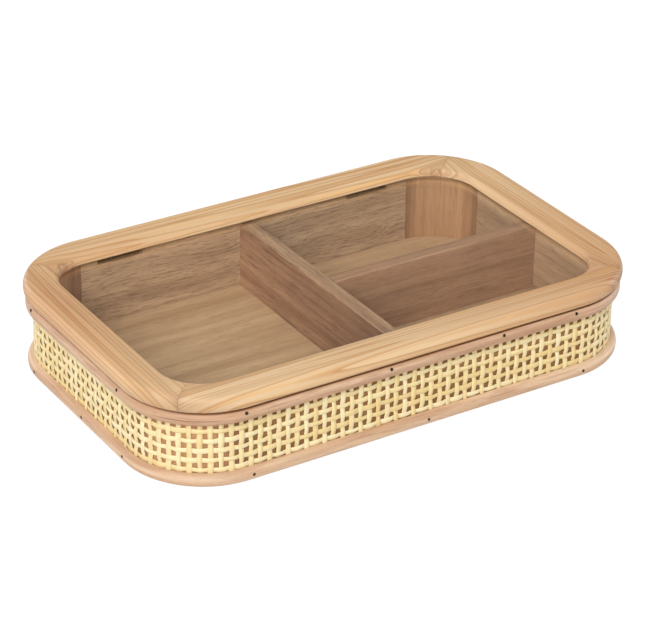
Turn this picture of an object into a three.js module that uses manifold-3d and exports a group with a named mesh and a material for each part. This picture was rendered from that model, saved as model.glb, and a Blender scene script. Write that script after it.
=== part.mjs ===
// A jewellery box: a shallow divided tray with rounded corners, wrapped in cane webbing between
// two rounded rattan trims, under a hinged lid whose mitred frame holds a pane of glass.
// Millimetres. +X runs along the front, +Y from the front to the hinges, +Z up.
// The origin is the middle of the underside.

import * as THREE from 'three';
import { mergeVertices } from 'three/addons/utils/BufferGeometryUtils.js';
import Module from 'manifold-3d';

const wasm = await Module();
wasm.setup();

// Lid frame, in plan
const LID_LENGTH = 300;
const LID_DEPTH = 193;
const LID_CORNER_RADIUS = 47.5;

// Section of the lid rails: a full round outer edge, a slightly crowned top and a rounded inner lip
const LID_THICKNESS = 9.3;
const RAIL_WIDTH = 20.6;
const RAIL_UNDERCUT = 2.6;
const RAIL_EDGE_HEIGHT = 4.5;
const RAIL_EDGE_ROUND = 3.4;
const RAIL_OUTER_FALL = 0.2;
const RAIL_CROWN_INSET = 10;
const RAIL_INNER_FALL = 0.7;
const RAIL_INNER_ROUND_WIDTH = 2.8;
const RAIL_INNER_ROUND_HEIGHT = 2.6;

// Pane of glass, let into a rebate under the inner lip of the rails
const GLASS_THICKNESS = 2;
const GLASS_REBATE_WIDTH = 4;
const GLASS_EDGE_GAP = 0.4;
const GLASS_RECESS = 1.4;

// Tray boards
const BASE_THICKNESS = 2.4;
const WALL_HEIGHT = 40.2;
const WALL_THICKNESS = 7.3;
const WALL_TOP_EASE = 0.8;
const DIVIDER_DROP = 1.5;
const DIVIDER_THICKNESS = 8.8;
const DIVIDER_TOP_EASE = 0.7;
const SHORT_DIVIDER_OFFSET = 1;

// Rattan trims, set back a little from the lid's edge
const LID_OVERHANG = 0.9;
const TRIM_THICKNESS = 4;
const TRIM_ROUND_DEPTH = 3.4;
const TRIM_ROUND_HEIGHT = 3;
const TOP_TRIM_HEIGHT = 7.5;
const BOTTOM_TRIM_HEIGHT = 7;

// Cane webbing: uprights behind, level strands in front, its edges tucked under the trims
const CANE_STRAND_WIDTH = 2.6;
const CANE_STRAND_THICKNESS = 0.5;
const CANE_UPRIGHT_PITCH = 5.35;
const CANE_ROW_PITCH = 5.56;
const CANE_FIRST_ROW_RISE = 1.45;
const CANE_TUCK = 0.8;

// Butt hinges let into the back wall
const HINGE_SETBACK = 22.5;
const HINGE_LENGTH = 26;
const HINGE_AXIS_INSET = 2.9;
const BARREL_DIAMETER = 4.4;
const PIN_DIAMETER = 2;
const PIN_END_DOME = 0.4;
const LEAF_ROOM_MARGIN = 1.1;
const LEAF_THICKNESS = 1.1;
const LEAF_HOLE_DIAMETER = 2.4;
const LEAF_HOLE_SPACING = 15;

// Clearances
const LID_GAP = 0.5;
const GLUE_GAP = 0.2;
const KNUCKLE_GAP = 0.25;
const PIN_CLEARANCE = 0.08;
const NOTCH_END_GAP = 0.8;

// Facets
const CORNER_STEPS = 8;
const EDGE_STEPS = 4;
const CROWN_STEPS = 3;
const TRIM_STEPS = 4;
const BARREL_SIDES = 16;
const HOLE_SIDES = 10;
const PIN_END_STEPS = 3;

// Levels above the table
const rimLevel = BASE_THICKNESS + WALL_HEIGHT;
const lidLevel = rimLevel + LID_GAP;
const topTrimLevel = rimLevel - TOP_TRIM_HEIGHT;
const axisLevel = lidLevel - GLUE_GAP - BARREL_DIAMETER / 2;
const notchLevel = axisLevel - BARREL_DIAMETER / 2 - GLUE_GAP;

// Insets from the lid's outer edge, from the trims inwards to the room inside
const trimBackInset = LID_OVERHANG + TRIM_THICKNESS;
const uprightFaceInset = trimBackInset + GLUE_GAP;
const uprightBackInset = uprightFaceInset + CANE_STRAND_THICKNESS;
const wallFaceInset = uprightBackInset + GLUE_GAP;
const roomInset = wallFaceInset + WALL_THICKNESS;

// Half sizes of the room inside, and where the hinge pins lie
const roomHalfLength = LID_LENGTH / 2 - roomInset;
const roomHalfDepth = LID_DEPTH / 2 - roomInset;
const axisY = LID_DEPTH / 2 - HINGE_AXIS_INSET;
const leafWidth = axisY - roomHalfDepth - LEAF_ROOM_MARGIN;
const dividerHeight = WALL_HEIGHT - DIVIDER_DROP;

// Corner centres, shared by every outline, anticlockwise from the back right
const cornerX = LID_LENGTH / 2 - LID_CORNER_RADIUS;
const cornerY = LID_DEPTH / 2 - LID_CORNER_RADIUS;
const corners = [
  { name: 'back_right', x: cornerX, y: cornerY, turn: 0 },
  { name: 'back_left', x: -cornerX, y: cornerY, turn: 90 },
  { name: 'front_left', x: -cornerX, y: -cornerY, turn: 180 },
  { name: 'front_right', x: cornerX, y: -cornerY, turn: 270 },
];
const sideNames = ['back', 'left', 'front', 'right'];

// A station is a place along an outline: a centre and the direction that points out from it.
function station(x, y, degrees) {
  const angle = THREE.MathUtils.degToRad(degrees);
  return { x, y, cos: Math.cos(angle), sin: Math.sin(angle) };
}

function stationPoint(place, inset) {
  const radius = LID_CORNER_RADIUS - inset;
  return new THREE.Vector2(place.x + radius * place.cos, place.y + radius * place.sin);
}

// Stations round part of one corner, from one angle within its quarter turn to another.
function cornerStations(corner, from = 0, to = 90) {
  const steps = Math.ceil((CORNER_STEPS * (to - from)) / 90);
  const places = [];
  for (let step = 0; step <= steps; step += 1) {
    const degrees = corner.turn + from + ((to - from) * step) / steps;
    places.push(station(corner.x, corner.y, degrees));
  }
  return places;
}

// Once round the box, from the middle of the back to the middle of the back, ends not quite meeting.
function wrapStations() {
  const [backRight, backLeft, frontLeft, frontRight] = corners;
  return [
    station(-GLUE_GAP / 2, cornerY, 90),
    ...cornerStations(backLeft),
    ...cornerStations(frontLeft),
    ...cornerStations(frontRight),
    ...cornerStations(backRight),
    station(GLUE_GAP / 2, cornerY, 90),
  ];
}

// Straight run between one corner and the next, held back at both ends.
function runStations(side, endGap) {
  const from = corners[side];
  const to = corners[(side + 1) % corners.length];
  const degrees = from.turn + 90;
  const out = station(0, 0, degrees);
  const along = { x: -out.sin, y: out.cos };
  return [
    station(from.x + endGap * along.x, from.y + endGap * along.y, degrees),
    station(to.x - endGap * along.x, to.y - endGap * along.y, degrees),
  ];
}

// Carries a section of (inset, height) points along stations and closes both ends.
function sweep(section, places) {
  const outline = THREE.ShapeUtils.isClockWise(section) ? section : [...section].reverse();
  const count = outline.length;
  const positions = [];
  for (const place of places) {
    for (const corner of outline) {
      const point = stationPoint(place, corner.x);
      positions.push(point.x, point.y, corner.y);
    }
  }
  const index = [];
  for (let ring = 0; ring < places.length - 1; ring += 1) {
    for (let side = 0; side < count; side += 1) {
      const next = (side + 1) % count;
      const a = ring * count + side;
      const b = ring * count + next;
      index.push(a, a + count, b + count, a, b + count, b);
    }
  }
  const last = (places.length - 1) * count;
  for (const [a, b, c] of THREE.ShapeUtils.triangulateShape(outline, [])) {
    index.push(a, c, b, last + a, last + b, last + c);
  }
  const geometry = new THREE.BufferGeometry();
  geometry.setAttribute('position', new THREE.Float32BufferAttribute(positions, 3));
  geometry.setIndex(index);
  geometry.computeVertexNormals();
  return geometry;
}

// A flat panel with the box's rounded outline.
function panel(inset, thickness) {
  const places = corners.flatMap((corner) => cornerStations(corner));
  const shape = new THREE.Shape(places.map((place) => stationPoint(place, inset)));
  return new THREE.ExtrudeGeometry(shape, { depth: thickness, bevelEnabled: false });
}

function block(low, high) {
  const size = new THREE.Vector3().subVectors(high, low);
  const middle = new THREE.Vector3().addVectors(high, low).multiplyScalar(0.5);
  return new THREE.BoxGeometry(size.x, size.y, size.z).translate(middle.x, middle.y, middle.z);
}

function ellipseArc(x, y, xRadius, yRadius, fromDegrees, toDegrees, steps) {
  const from = THREE.MathUtils.degToRad(fromDegrees);
  const to = THREE.MathUtils.degToRad(toDegrees);
  return new THREE.EllipseCurve(x, y, xRadius, yRadius, from, to, to < from).getPoints(steps);
}

// Solids for joining and cutting
function solid(geometry) {
  const bare = geometry.clone();
  bare.deleteAttribute('normal');
  bare.deleteAttribute('uv');
  const merged = mergeVertices(bare);
  const vertProperties = new Float32Array(merged.getAttribute('position').array);
  const triVerts = new Uint32Array(merged.getIndex().array);
  return new wasm.Manifold(new wasm.Mesh({ numProp: 3, vertProperties, triVerts }));
}

function joined(geometries) {
  return geometries.map(solid).reduce((sum, piece) => sum.add(piece));
}

function surface(manifold) {
  const mesh = manifold.getMesh();
  const geometry = new THREE.BufferGeometry();
  geometry.setAttribute('position', new THREE.BufferAttribute(mesh.vertProperties, 3));
  geometry.setIndex(new THREE.BufferAttribute(mesh.triVerts, 1));
  geometry.computeVertexNormals();
  return geometry;
}

// Finishes
function finish(color, roughness, metalness = 0) {
  return new THREE.MeshStandardMaterial({ color, roughness, metalness });
}
const lidWood = finish(0xd9b482, 0.55);
const trayWood = finish(0x9a7858, 0.7);
const blockWood = finish(0xa67c55, 0.68);
const baseWood = finish(0xb08c66, 0.7);
const rattan = finish(0xd4a47b, 0.5);
const cane = finish(0xecd893, 0.5);
const brass = finish(0x8a7448, 0.35, 1);
const glass = finish(0xe8f0ee, 0.03);
glass.transparent = true;
glass.opacity = 0.3;

function piece(parent, name, geometry, material) {
  const mesh = new THREE.Mesh(geometry, material);
  mesh.name = name;
  parent.add(mesh);
  return mesh;
}

const jewelleryBox = new THREE.Group();
const tray = new THREE.Group();
const lid = new THREE.Group();
lid.position.z = lidLevel;
jewelleryBox.add(tray, lid);

// The slots through the back wall, the webbing and the top trim that the hinges sit in
const notchHalfLength = HINGE_LENGTH / 2 + NOTCH_END_GAP;
const hingeCentres = { left: HINGE_SETBACK - cornerX, right: cornerX - HINGE_SETBACK };
const notches = joined(Object.values(hingeCentres).map((centre) => block(
  new THREE.Vector3(centre - notchHalfLength, roomHalfDepth - WALL_THICKNESS, notchLevel),
  new THREE.Vector3(centre + notchHalfLength, LID_DEPTH / 2 + TRIM_THICKNESS, lidLevel),
)));

// Base board
piece(tray, 'base_panel', panel(wallFaceInset, BASE_THICKNESS), baseWood);

// Wall boards and the quarter-round blocks between them, with one section all round
const wallSection = [
  new THREE.Vector2(wallFaceInset, BASE_THICKNESS + GLUE_GAP),
  new THREE.Vector2(wallFaceInset, rimLevel),
  new THREE.Vector2(roomInset - WALL_TOP_EASE, rimLevel),
  new THREE.Vector2(roomInset, rimLevel - WALL_TOP_EASE),
  new THREE.Vector2(roomInset, BASE_THICKNESS + GLUE_GAP),
];
sideNames.forEach((name, side) => {
  const board = sweep(wallSection, runStations(side, GLUE_GAP));
  const geometry = name === 'back' ? surface(solid(board).subtract(notches)) : board;
  piece(tray, `wall_${name}`, geometry, trayWood);
});
for (const corner of corners) {
  piece(tray, `corner_block_${corner.name}`, sweep(wallSection, cornerStations(corner)), blockWood);
}

// Dividers with eased top edges, standing on the base
function divider(length) {
  const half = DIVIDER_THICKNESS / 2;
  const section = new THREE.Shape();
  section.moveTo(-half, GLUE_GAP);
  section.lineTo(half, GLUE_GAP);
  section.lineTo(half, dividerHeight - DIVIDER_TOP_EASE);
  section.lineTo(half - DIVIDER_TOP_EASE, dividerHeight);
  section.lineTo(-half + DIVIDER_TOP_EASE, dividerHeight);
  section.lineTo(-half, dividerHeight - DIVIDER_TOP_EASE);
  return new THREE.ExtrudeGeometry(section, { depth: length, bevelEnabled: false }).rotateX(Math.PI / 2);
}
const crossLength = 2 * (roomHalfDepth - GLUE_GAP);
const crossDivider = piece(tray, 'cross_divider', divider(crossLength), trayWood);
crossDivider.position.set(0, crossLength / 2, BASE_THICKNESS);
const shortStart = DIVIDER_THICKNESS / 2 + GLUE_GAP;
const shortLength = roomHalfLength - GLUE_GAP - shortStart;
const shortDivider = piece(tray, 'short_divider', divider(shortLength), trayWood);
shortDivider.rotation.z = Math.PI / 2;
shortDivider.position.set(shortStart, SHORT_DIVIDER_OFFSET, BASE_THICKNESS);

// Trims with a flat back and a rounded front, each one strip bent round the box and butted at the back
function trim(level, height) {
  const centre = LID_OVERHANG + TRIM_ROUND_DEPTH;
  const low = level + TRIM_ROUND_HEIGHT;
  const high = level + height - TRIM_ROUND_HEIGHT;
  const section = [
    new THREE.Vector2(trimBackInset, level),
    ...ellipseArc(centre, low, TRIM_ROUND_DEPTH, TRIM_ROUND_HEIGHT, -90, -180, TRIM_STEPS),
    ...ellipseArc(centre, high, TRIM_ROUND_DEPTH, TRIM_ROUND_HEIGHT, 180, 90, TRIM_STEPS),
    new THREE.Vector2(trimBackInset, level + height),
  ];
  return sweep(section, wrapStations());
}
const topTrim = solid(trim(topTrimLevel, TOP_TRIM_HEIGHT)).subtract(notches);
piece(tray, 'top_trim', surface(topTrim), rattan);
piece(tray, 'bottom_trim', trim(0, BOTTOM_TRIM_HEIGHT), rattan);

// Uprights of the webbing: a thin band round the box, slotted between one upright and the next
function uprightOutline(inset) {
  const radius = LID_CORNER_RADIUS - inset;
  const path = new THREE.Path();
  path.moveTo(0, cornerY + radius);
  corners.forEach((corner, place) => {
    const next = corners[(place + 1) % corners.length];
    const from = THREE.MathUtils.degToRad(next.turn);
    const start = stationPoint(station(next.x, next.y, next.turn), inset);
    path.lineTo(start.x, start.y);
    path.absarc(next.x, next.y, radius, from, from + Math.PI / 2, false);
  });
  path.lineTo(0, cornerY + radius);
  return path;
}
const slotLow = BOTTOM_TRIM_HEIGHT - CANE_TUCK;
const slotHigh = topTrimLevel + CANE_TUCK;
const bandSection = [
  new THREE.Vector2(uprightFaceInset, CANE_TUCK),
  new THREE.Vector2(uprightFaceInset, rimLevel - CANE_TUCK),
  new THREE.Vector2(uprightBackInset, rimLevel - CANE_TUCK),
  new THREE.Vector2(uprightBackInset, CANE_TUCK),
];
const uprightPath = uprightOutline(uprightFaceInset);
const uprightCount = Math.round(uprightPath.getLength() / CANE_UPRIGHT_PITCH);
const slotWidth = uprightPath.getLength() / uprightCount - CANE_STRAND_WIDTH;
const facetSag = LID_CORNER_RADIUS * (1 - Math.cos(Math.PI / 4 / CORNER_STEPS));
const slotReach = 2 * (CANE_STRAND_THICKNESS + facetSag + GLUE_GAP);
const slots = [];
for (let count = 0; count < uprightCount; count += 1) {
  const along = (count + 0.5) / uprightCount;
  const middle = uprightPath.getPoint(along);
  const heading = uprightPath.getTangent(along).angle();
  const slot = new THREE.BoxGeometry(slotWidth, slotReach, slotHigh - slotLow);
  slots.push(slot.rotateZ(heading).translate(middle.x, middle.y, (slotHigh + slotLow) / 2));
}
const uprights = solid(sweep(bandSection, wrapStations())).subtract(joined(slots)).subtract(notches);
piece(tray, 'cane_uprights', surface(uprights), cane);

// Level strands of the webbing, in front of the uprights and clear of both trims
const strandBackInset = uprightFaceInset - GLUE_GAP;
const strandFaceInset = strandBackInset - CANE_STRAND_THICKNESS;
const firstRow = BOTTOM_TRIM_HEIGHT + CANE_FIRST_ROW_RISE;
const rowRoom = topTrimLevel - CANE_STRAND_WIDTH / 2 - firstRow;
const rowCount = Math.floor(rowRoom / CANE_ROW_PITCH) + 1;
for (let row = 0; row < rowCount; row += 1) {
  const low = firstRow + row * CANE_ROW_PITCH - CANE_STRAND_WIDTH / 2;
  const high = low + CANE_STRAND_WIDTH;
  const section = [
    new THREE.Vector2(strandFaceInset, low),
    new THREE.Vector2(strandFaceInset, high),
    new THREE.Vector2(strandBackInset, high),
    new THREE.Vector2(strandBackInset, low),
  ];
  piece(tray, `cane_strand_${row + 1}`, sweep(section, wrapStations()), cane);
}

// Lid rails: the moulding runs round the rounded corners and is mitred at the middle of each
const edgeRise = LID_THICKNESS - RAIL_OUTER_FALL - RAIL_EDGE_HEIGHT;
const innerTop = LID_THICKNESS - RAIL_INNER_FALL;
const innerStart = RAIL_WIDTH - RAIL_INNER_ROUND_WIDTH;
const rebateInset = RAIL_WIDTH - GLASS_REBATE_WIDTH;
const rebateTop = GLASS_RECESS + GLASS_THICKNESS + GLUE_GAP;
const crown = new THREE.Vector2(RAIL_CROWN_INSET, LID_THICKNESS);
const outerRise = new THREE.QuadraticBezierCurve(
  new THREE.Vector2(RAIL_EDGE_ROUND, RAIL_EDGE_HEIGHT + edgeRise),
  new THREE.Vector2((RAIL_EDGE_ROUND + RAIL_CROWN_INSET) / 2, LID_THICKNESS),
  crown,
);
const innerFall = new THREE.QuadraticBezierCurve(
  crown,
  new THREE.Vector2((RAIL_CROWN_INSET + innerStart) / 2, LID_THICKNESS),
  new THREE.Vector2(innerStart, innerTop),
);
const innerRound = ellipseArc(
  innerStart,
  innerTop - RAIL_INNER_ROUND_HEIGHT,
  RAIL_INNER_ROUND_WIDTH,
  RAIL_INNER_ROUND_HEIGHT,
  90,
  0,
  EDGE_STEPS,
);
const railSection = [
  ...ellipseArc(RAIL_UNDERCUT, RAIL_EDGE_HEIGHT, RAIL_UNDERCUT, RAIL_EDGE_HEIGHT, -90, -180, EDGE_STEPS),
  ...ellipseArc(RAIL_EDGE_ROUND, RAIL_EDGE_HEIGHT, RAIL_EDGE_ROUND, edgeRise, 180, 90, EDGE_STEPS).slice(1),
  ...outerRise.getPoints(CROWN_STEPS).slice(1),
  ...innerFall.getPoints(CROWN_STEPS).slice(1),
  ...innerRound.slice(1),
  new THREE.Vector2(RAIL_WIDTH, rebateTop),
  new THREE.Vector2(rebateInset, rebateTop),
  new THREE.Vector2(rebateInset, 0),
];
const mitreRadius = LID_CORNER_RADIUS - RAIL_WIDTH;
const mitreGap = THREE.MathUtils.radToDeg(GLUE_GAP / 2 / mitreRadius);
sideNames.forEach((name, side) => {
  const start = cornerStations(corners[side], 45 + mitreGap, 90);
  const end = cornerStations(corners[(side + 1) % corners.length], 0, 45 - mitreGap);
  piece(lid, `lid_rail_${name}`, sweep(railSection, [...start, ...end]), lidWood);
});

// Pane of glass in the rebate
const pane = piece(lid, 'glass_panel', panel(rebateInset + GLASS_EDGE_GAP, GLASS_THICKNESS), glass);
pane.position.z = GLASS_RECESS;

// Butt hinges, each modelled about its own pin: a leaf on the notch floor, a leaf under the lid,
// and three knuckles on the pin
const barrelRadius = BARREL_DIAMETER / 2;
const knuckleLength = (HINGE_LENGTH - 2 * KNUCKLE_GAP) / 3;
const middleKnuckle = { from: -knuckleLength / 2, to: knuckleLength / 2 };
const endKnuckles = [
  { from: -HINGE_LENGTH / 2, to: middleKnuckle.from - KNUCKLE_GAP },
  { from: middleKnuckle.to + KNUCKLE_GAP, to: HINGE_LENGTH / 2 },
];

function barrel(from, to, radius, sides) {
  const cylinder = new THREE.CylinderGeometry(radius, radius, to - from, sides);
  return cylinder.rotateZ(Math.PI / 2).translate((from + to) / 2, 0, 0);
}

function leaf(low, ownKnuckles, otherKnuckles) {
  const plate = block(
    new THREE.Vector3(-HINGE_LENGTH / 2, -leafWidth, low),
    new THREE.Vector3(HINGE_LENGTH / 2, 0, low + LEAF_THICKNESS),
  );
  const reach = barrelRadius + KNUCKLE_GAP;
  const gaps = otherKnuckles.map(({ from, to }) => block(
    new THREE.Vector3(from - KNUCKLE_GAP, -reach, -reach),
    new THREE.Vector3(to + KNUCKLE_GAP, reach, reach),
  ));
  const holeSetback = (barrelRadius + leafWidth) / 2;
  const holes = [-LEAF_HOLE_SPACING / 2, LEAF_HOLE_SPACING / 2].map((x) => {
    const hole = new THREE.CylinderGeometry(
      LEAF_HOLE_DIAMETER / 2,
      LEAF_HOLE_DIAMETER / 2,
      BARREL_DIAMETER * 2,
      HOLE_SIDES,
    );
    return hole.rotateX(Math.PI / 2).translate(x, -holeSetback, 0);
  });
  const bore = barrel(-HINGE_LENGTH, HINGE_LENGTH, PIN_DIAMETER / 2 + PIN_CLEARANCE, BARREL_SIDES);
  const knuckles = ownKnuckles.map(({ from, to }) => barrel(from, to, barrelRadius, BARREL_SIDES));
  const cutPlate = solid(plate).subtract(joined([...gaps, ...holes]));
  return surface(cutPlate.add(joined(knuckles)).subtract(solid(bore)));
}

function pin() {
  const radius = PIN_DIAMETER / 2;
  const half = HINGE_LENGTH / 2;
  const dome = ellipseArc(0, half, radius, PIN_END_DOME, 0, 90, PIN_END_STEPS);
  const foot = ellipseArc(0, -half, radius, PIN_END_DOME, -90, 0, PIN_END_STEPS);
  foot[0].x = 0;
  dome[dome.length - 1].x = 0;
  return new THREE.LatheGeometry([...foot, ...dome], BARREL_SIDES).rotateZ(Math.PI / 2);
}

for (const [side, centre] of Object.entries(hingeCentres)) {
  const hinge = new THREE.Group();
  hinge.position.set(centre, axisY, axisLevel);
  piece(hinge, `hinge_${side}_box_leaf`, leaf(-barrelRadius, endKnuckles, [middleKnuckle]), brass);
  const lidLeaf = leaf(barrelRadius - LEAF_THICKNESS, [middleKnuckle], endKnuckles);
  piece(hinge, `hinge_${side}_lid_leaf`, lidLeaf, brass);
  piece(hinge, `hinge_${side}_pin`, pin(), brass);
  jewelleryBox.add(hinge);
}

export default jewelleryBox;
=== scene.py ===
"""A jewellery box with a hinged glass lid: its woods, cane webbing, rattan trims, glass and hinges.

Metres, in the frame's own axes: +X along the front, +Y from the front to the hinges, +Z up.
The webbing and the trims are made flat, as strips along X with their outer face towards -Y,
and then wrapped round the box. Heights are in place from the start.
"""

import math

import bmesh
import bpy
from mathutils import Matrix, Vector


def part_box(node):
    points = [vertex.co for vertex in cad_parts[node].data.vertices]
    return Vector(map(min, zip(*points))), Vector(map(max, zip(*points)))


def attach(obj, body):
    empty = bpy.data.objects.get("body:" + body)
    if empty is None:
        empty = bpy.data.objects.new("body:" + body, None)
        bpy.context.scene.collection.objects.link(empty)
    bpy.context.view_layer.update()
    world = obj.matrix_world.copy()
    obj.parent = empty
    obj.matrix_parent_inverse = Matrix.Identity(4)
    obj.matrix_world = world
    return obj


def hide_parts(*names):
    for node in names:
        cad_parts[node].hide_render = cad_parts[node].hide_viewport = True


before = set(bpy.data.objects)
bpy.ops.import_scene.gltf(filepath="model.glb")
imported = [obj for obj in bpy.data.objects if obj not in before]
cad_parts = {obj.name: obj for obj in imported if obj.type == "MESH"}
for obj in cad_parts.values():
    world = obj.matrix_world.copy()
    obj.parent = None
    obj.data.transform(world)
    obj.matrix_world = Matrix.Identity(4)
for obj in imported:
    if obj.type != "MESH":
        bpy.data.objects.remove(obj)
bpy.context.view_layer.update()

MM = 0.001

# Section of the lid rails
RAIL_WIDTH = 20.6 * MM
RAIL_UNDERCUT = 2.6 * MM
RAIL_EDGE_HEIGHT = 4.5 * MM
RAIL_EDGE_ROUND = 3.4 * MM
RAIL_OUTER_FALL = 0.2 * MM
RAIL_CROWN_INSET = 10.0 * MM
RAIL_INNER_FALL = 1.1 * MM
RAIL_INNER_ROUND_WIDTH = 3.6 * MM
RAIL_INNER_ROUND_HEIGHT = 2.6 * MM
GLASS_REBATE_WIDTH = 4.0 * MM
GLASS_ROOM = 0.2 * MM

# How far the inside of each corner is drawn out from an even round
OPENING_DRAWN = {
    "back_right": 0.0,
    "back_left": 2.0 * MM,
    "front_left": 1.5 * MM,
    "front_right": 2.4 * MM,
}
TRAY_DRAWN = {
    "back_right": 2.0 * MM,
    "back_left": 0.7 * MM,
    "front_left": 1.4 * MM,
    "front_right": 1.4 * MM,
}

# Joints
MITRE_GAP = 0.06 * MM
MITRE_EASE = 0.05 * MM
BOARD_GAP = 0.2 * MM

# Eased edges
WALL_EASE = 0.8 * MM
DIVIDER_EASE = 0.7 * MM
BOARD_ARRIS = 0.25 * MM
GLASS_ARRIS = 0.25 * MM

# Section of the trims
TRIM_ROUND_DEPTH = 3.4 * MM
TRIM_ROUND_HEIGHT = 3.0 * MM
TRIM_BACK_ROOM = 0.1 * MM
# Depth of the painted shadow along the top trim's top edge, under the lid
GAP_SHADE_DEPTH = 0.9 * MM
TRIM_STEP = 12 * MM

# Cane webbing, whose strands wander in waves of so many radians to the metre, along the box and up it
CANE_WIDTH = 2.8 * MM
CANE_THICKNESS = 0.5 * MM
CANE_EDGE_ROUND = 0.55 * MM
CANE_ROWS = 5
CANE_UPRIGHTS = 162
CANE_LIFT = 0.33 * MM
CANE_TUCK = 3.0 * MM
CANE_STEPS_PER_CROSSING = 4
CANE_END_FACING = 0.9
CANE_WANDER = 0.22 * MM
UPRIGHT_WAVES = (610, 230)
LEVEL_WAVES = (150, 800)

# Brads and screws
BRAD_RADIUS = 0.95 * MM
BRAD_HEIGHT = 1.2 * MM
BRAD_PROUD = 0.15 * MM
BRAD_DOME = 0.4 * BRAD_RADIUS
TOP_BRAD_DROP = 2.2 * MM
BOTTOM_BRAD_DROP = 3.1 * MM
SCREW_RADIUS = 1.5 * MM
SCREW_HEIGHT = 0.6 * MM
SCREW_PROUD = 0.3 * MM
SCREW_SLOT = 0.4 * MM
SCREW_SPACING = 15 * MM

# Hinges
HINGE_CLEARANCE = 0.25 * MM
NOTCH_END_ROOM = 0.8 * MM
NOTCH_FLOOR_ROOM = 0.2 * MM
LEAF_THICKNESS = 1.1 * MM
LEAF_ARRIS = 0.15 * MM
KNUCKLE_ARRIS = 0.2 * MM

# How finely round shapes are stepped
CORNER_STEPS = 20
EDGE_STEPS = 6
EASE_STEPS = 3
ARRIS_STEPS = 2
BOARD_END_STEPS = 3
BARREL_SIDES = 28
BRAD_SIDES = 12
SCREW_SIDES = 20
BACKDROP_SIDES = 96

# Degrees between two faces, up to which they are shaded as one
SMOOTH_EDGE = 35
SMOOTH_PANEL = 12
SMOOTH_CURVE = 50

TOUCH = 1e-6

# Places that the frame gives: corner centres are shared by every rounded outline
corner_x, corner_y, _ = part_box("corner_block_back_right")[0]
lid_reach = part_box("lid_rail_right")[1].x - corner_x
lid_low, lid_top = (corner.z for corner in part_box("lid_rail_front"))
opening_reach = lid_reach - RAIL_WIDTH
rebate_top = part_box("glass_panel")[1].z + GLASS_ROOM
wall_inner, wall_outer = (corner.x - corner_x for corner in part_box("wall_right"))
wall_middle = (wall_inner + wall_outer) / 2
wall_low, rim = (corner.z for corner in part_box("wall_right"))
trim_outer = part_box("bottom_trim")[1].x - corner_x
web_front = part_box("cane_strand_1")[1].x - corner_x
web_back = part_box("cane_uprights")[1].x - CANE_THICKNESS - corner_x
web_reach = (web_front + web_back) / 2
row_nodes = [f"cane_strand_{row + 1}" for row in range(CANE_ROWS)]
row_levels = [sum(corner.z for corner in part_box(node)) / 2 for node in row_nodes]

# Each corner's centre and the heading at which its quarter turn starts
CORNERS = {
    "back_right": (Vector((corner_x, corner_y, 0)), 0),
    "back_left": (Vector((-corner_x, corner_y, 0)), 90),
    "front_left": (Vector((-corner_x, -corner_y, 0)), 180),
    "front_right": (Vector((corner_x, -corner_y, 0)), 270),
}
# Each side's first and last corner, anticlockwise from above, and the axis it runs along
SIDES = {
    "back": ("back_right", "back_left", "x"),
    "left": ("back_left", "front_left", "y"),
    "front": ("front_left", "front_right", "x"),
    "right": ("front_right", "back_right", "y"),
}
HINGE_SIDES = ("left", "right")


# Working in edit mode
def put_down():
    """Deselects everything."""
    bpy.ops.object.select_all(action="DESELECT")


def pick_up(piece):
    """Selects one piece alone and makes it the active one."""
    put_down()
    piece.select_set(True)
    bpy.context.view_layer.objects.active = piece


def open_mesh(piece, whole=False):
    """Goes into edit mode with the whole mesh selected, or nothing."""
    pick_up(piece)
    bpy.ops.object.mode_set(mode="EDIT")
    bpy.ops.mesh.select_all(action="SELECT" if whole else "DESELECT")


def close_mesh():
    bpy.ops.object.mode_set(mode="OBJECT")


def pick(piece, kind, wanted):
    """Selects the vertices, edges or faces that answer the question."""
    bpy.ops.mesh.select_mode(type=kind)
    bpy.ops.mesh.select_all(action="DESELECT")
    mesh = bmesh.from_edit_mesh(piece.data)
    mesh.normal_update()
    for item in {"VERT": mesh.verts, "EDGE": mesh.edges, "FACE": mesh.faces}[kind]:
        item.select_set(wanted(item))
    bmesh.update_edit_mesh(piece.data)


def pick_points(piece, wanted):
    """Selects the vertices whose place answers the question."""
    pick(piece, "VERT", lambda vertex: wanted(vertex.co))


def pick_edges(piece, wanted):
    """Selects the edges whose two ends answer the question."""
    pick(piece, "EDGE", lambda edge: wanted(edge.verts[0].co, edge.verts[1].co))


def pick_faces(piece, wanted):
    """Selects the faces whose middle and normal answer the question."""
    pick(piece, "FACE", lambda face: wanted(face.calc_center_median(), face.normal))


def named(name):
    """The piece that an operator has just added, under its name."""
    piece = bpy.context.object
    piece.name = name
    piece.data.name = name
    return piece


def block(name, low, high):
    """A plain block between two corners, to be shaped."""
    put_down()
    size = Vector(high) - Vector(low)
    bpy.ops.mesh.primitive_cube_add(size=1, location=(Vector(high) + Vector(low)) / 2, scale=size)
    bpy.ops.object.transform_apply(location=True, rotation=True, scale=True)
    return named(name)


def cylinder(name, sides, radius, length, middle, turn=(0, 0, 0)):
    """A plain cylinder along Z, or turned, to be shaped."""
    put_down()
    bpy.ops.mesh.primitive_cylinder_add(vertices=sides, radius=radius, depth=length,
                                        location=middle, rotation=turn)
    bpy.ops.object.transform_apply(location=True, rotation=True, scale=True)
    return named(name)


def outline_face(name, points):
    """A flat face with its corners at these points."""
    put_down()
    bpy.ops.mesh.primitive_circle_add(vertices=len(points), fill_type="NGON")
    piece = named(name)
    for vertex, point in zip(piece.data.vertices, points):
        vertex.co = point
    return piece


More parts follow.
